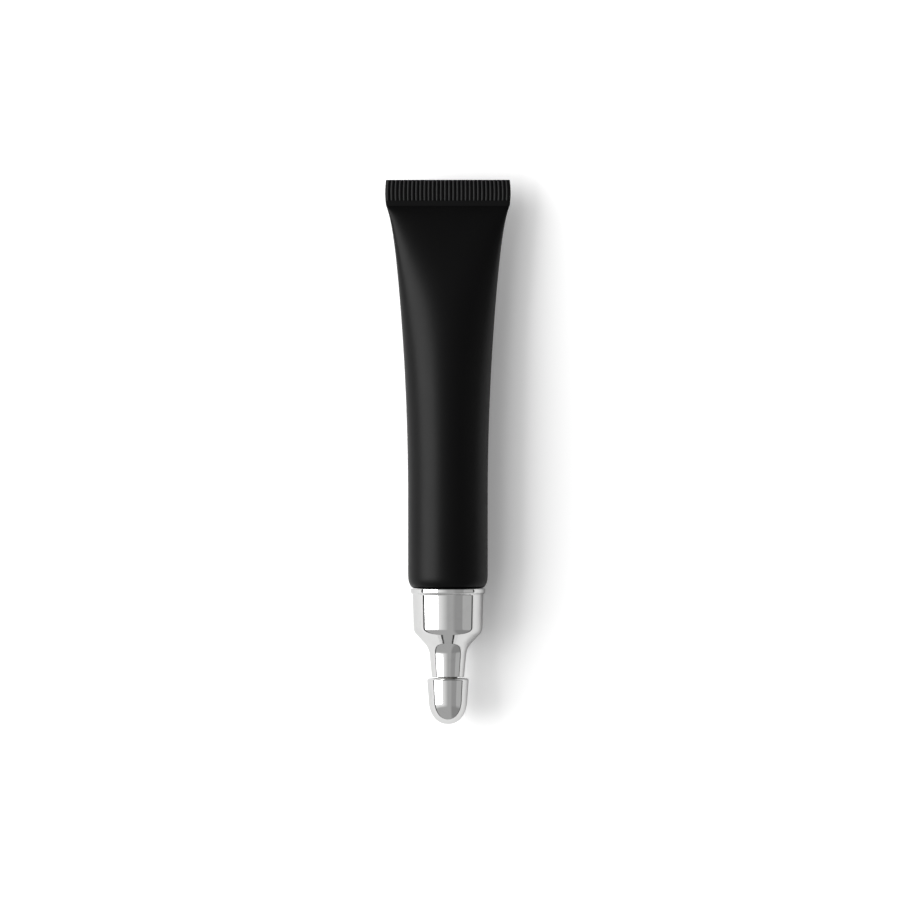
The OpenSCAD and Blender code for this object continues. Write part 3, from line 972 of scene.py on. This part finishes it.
def room_light(stage):
    """A plain room, brighter towards the softbox, and white where the camera sees it."""
    f = Finish(bpy.data.worlds.new("room"))
    bpy.context.scene.world = f.owner
    direction = f.node("ShaderNodeTexCoord", output="Generated")
    across, along, up = (
        f.node("ShaderNodeSeparateXYZ", {}, {0: direction}, output=axis) for axis in "XYZ"
    )
    to_left = (across * -1).at_least(0.0)
    ends = f.rise(along * along, *ENDS_SPAN)
    ceiling = CEILING + CEILING_GAIN * to_left.at_most(CEILING_LIMIT) * (1 - ends)
    wall = f.rise(across, *WALL_SPAN) * (WALL_FALL + WALL_END_FALL * ends)
    card = f.rise(across, *CARD_SPAN) * (1 - ends) * CARD_GAIN
    side = across * across * across
    horizon = HORIZON + (side * HORIZON_LEFT).at_least(side * HORIZON_RIGHT)
    above = f.rise(up, horizon, horizon + HORIZON_BLUR)
    behind = 1 - BEHIND_FALL * f.rise(along, *BEHIND_SPAN)
    mirrored = (ceiling + wall + card) * behind * (BELOW_HORIZON + (1 - BELOW_HORIZON) * above)
    above_softbox = f.rise(to_left, 0.2, 0.3) * f.rise(up, 0.7, 0.8)
    room = stage.room + stage.room_gain * to_left + stage.room_top * above_softbox
    camera = f.node("ShaderNodeLightPath", output="Is Camera Ray")
    glossy = f.node("ShaderNodeLightPath", output="Is Glossy Ray")
    strength = camera + glossy * mirrored + (1 - camera - glossy) * room
    background = f.node("ShaderNodeBackground", {}, {"Color": WHITE, "Strength": strength})
    f.node("ShaderNodeOutputWorld", {}, {"Surface": background})


class TUBE_OT_stage(bpy.types.Operator):
    """Sets the floor, the room, the softbox and the camera"""

    bl_idname = "tube.stage"
    bl_label = "Stage"

    def execute(self, context):
        stage = context.scene.tube_stage
        begin()
        bpy.ops.mesh.primitive_circle_add(
            vertices=96, radius=FLOOR_RADIUS, fill_type="NGON", location=(0, 0, 0)
        )
        floor = context.object
        floor.name = "floor"
        for vertex in floor.data.vertices:
            vertex.co.z = -FLOOR_DROP
        floor.data.materials.append(pale_floor())

        room_light(stage)

        middle = (SOFTBOX_LOW + SOFTBOX_HIGH) / 2
        to_side, to_top = SOFTBOX_AWAY * math.cos(middle), SOFTBOX_AWAY * math.sin(middle)
        bpy.ops.object.light_add(
            type="AREA", location=(-to_side, SOFTBOX_ALONG, AXIS_Z + to_top),
            rotation=(0, middle - QUARTER_TURN, 0),
        )
        softbox = context.object
        softbox.name = "softbox"
        softbox.data.shape = "RECTANGLE"
        softbox.data.size = 2 * SOFTBOX_AWAY * math.tan((SOFTBOX_HIGH - SOFTBOX_LOW) / 2)
        softbox.data.size_y = SOFTBOX_LENGTH
        softbox.data.energy = 4 * stage.softbox * softbox.data.size * softbox.data.size_y
        softbox.visible_camera = False

        above = AXIS_Z + stage.camera_distance
        bpy.ops.object.camera_add(location=(CAMERA_ACROSS, CAMERA_ALONG, above), rotation=(0, 0, 0))
        camera = context.object
        camera.data.lens = stage.lens
        camera.data.sensor_width = 36
        camera.data.clip_start = 0.01
        camera.data.clip_end = 20
        context.scene.camera = camera
        context.scene.view_settings.view_transform = "Standard"
        return {"FINISHED"}


class TUBE_PT_panel(bpy.types.Panel):
    """Lists the sizes, finishes and steps"""

    bl_idname = "TUBE_PT_panel"
    bl_label = "Squeeze Tube"
    bl_space_type = "VIEW_3D"
    bl_region_type = "UI"
    bl_category = "Tube"

    def draw(self, context):
        for group in GROUPS:
            box = self.layout.box()
            settings = getattr(context.scene, group)
            for name in GROUPS[group].__annotations__:
                box.prop(settings, name)
        for step in STEPS:
            self.layout.operator(step.bl_idname)


GROUPS = {
    "tube_sleeve": SleeveSizes, "tube_nozzle": NozzleSizes, "tube_cap": CapSizes,
    "tube_finish": FinishSettings, "tube_stage": StageSettings,
}
STEPS = [
    TUBE_OT_stage, TUBE_OT_sleeve, TUBE_OT_head, TUBE_OT_contents, TUBE_OT_nozzle_shell,
    TUBE_OT_nozzle_insert, TUBE_OT_cap, TUBE_OT_washers,
]
CLASSES = [*GROUPS.values(), *STEPS, TUBE_PT_panel]


def register():
    for cls in CLASSES:
        bpy.utils.register_class(cls)
    for name, group in GROUPS.items():
        setattr(bpy.types.Scene, name, bpy.props.PointerProperty(type=group))


def unregister():
    for name in GROUPS:
        delattr(bpy.types.Scene, name)
    for cls in reversed(CLASSES):
        bpy.utils.unregister_class(cls)


def main():
    register()
    bpy.ops.tube.stage()
    bpy.ops.tube.sleeve()
    bpy.ops.tube.head()
    bpy.ops.tube.contents()
    bpy.ops.tube.nozzle_shell()
    bpy.ops.tube.nozzle_insert()
    bpy.ops.tube.cap()
    bpy.ops.tube.washers()


if __name__ == "__main__":
    main()
